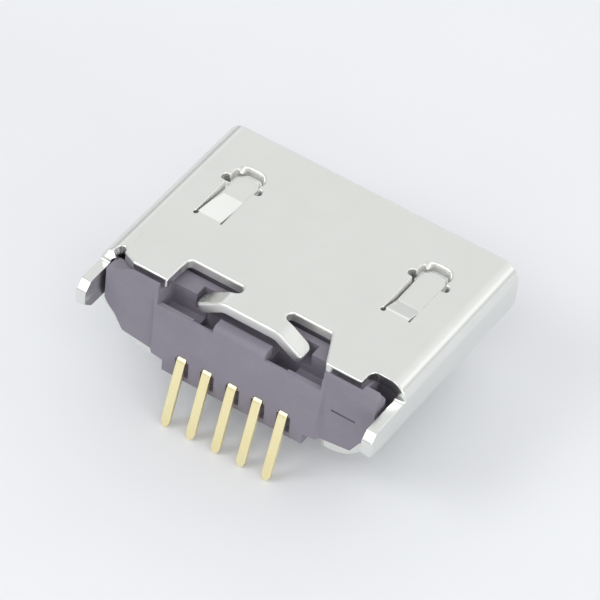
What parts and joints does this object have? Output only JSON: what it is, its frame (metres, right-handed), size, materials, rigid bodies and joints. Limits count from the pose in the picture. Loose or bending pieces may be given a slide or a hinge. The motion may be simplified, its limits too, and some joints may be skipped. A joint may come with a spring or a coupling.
{
  "type": "micro usb socket",
  "caption": "Board-mount micro usb socket: folded metal shell with latch fingers and rear horns around a moulded housing with a tongue, its formed contacts bent down behind to go through a board.",
  "frame": {"origin": "middle of the mouth opening, in the plane of the shell's front edge", "axes": "+X across the mouth, -Y out of the mouth towards the plug, +Z away from the board"},
  "size_m": [0.0074, 0.0058, 0.0034],
  "materials": {
    "shell_sheet": "satin nickel-plated sheet with bright edges",
    "housing_plastic": "fine matt moulded, dark purple-grey",
    "contact_strip": "pale gold plating"
  },
  "bodies": {
    "root": {"shell": "shell_sheet", "housing": "housing_plastic", "vbus_contact": "contact_strip", "data_minus_contact": "contact_strip", "data_plus_contact": "contact_strip", "id_contact": "contact_strip", "ground_contact": "contact_strip"}
  },
  "joints": []
}
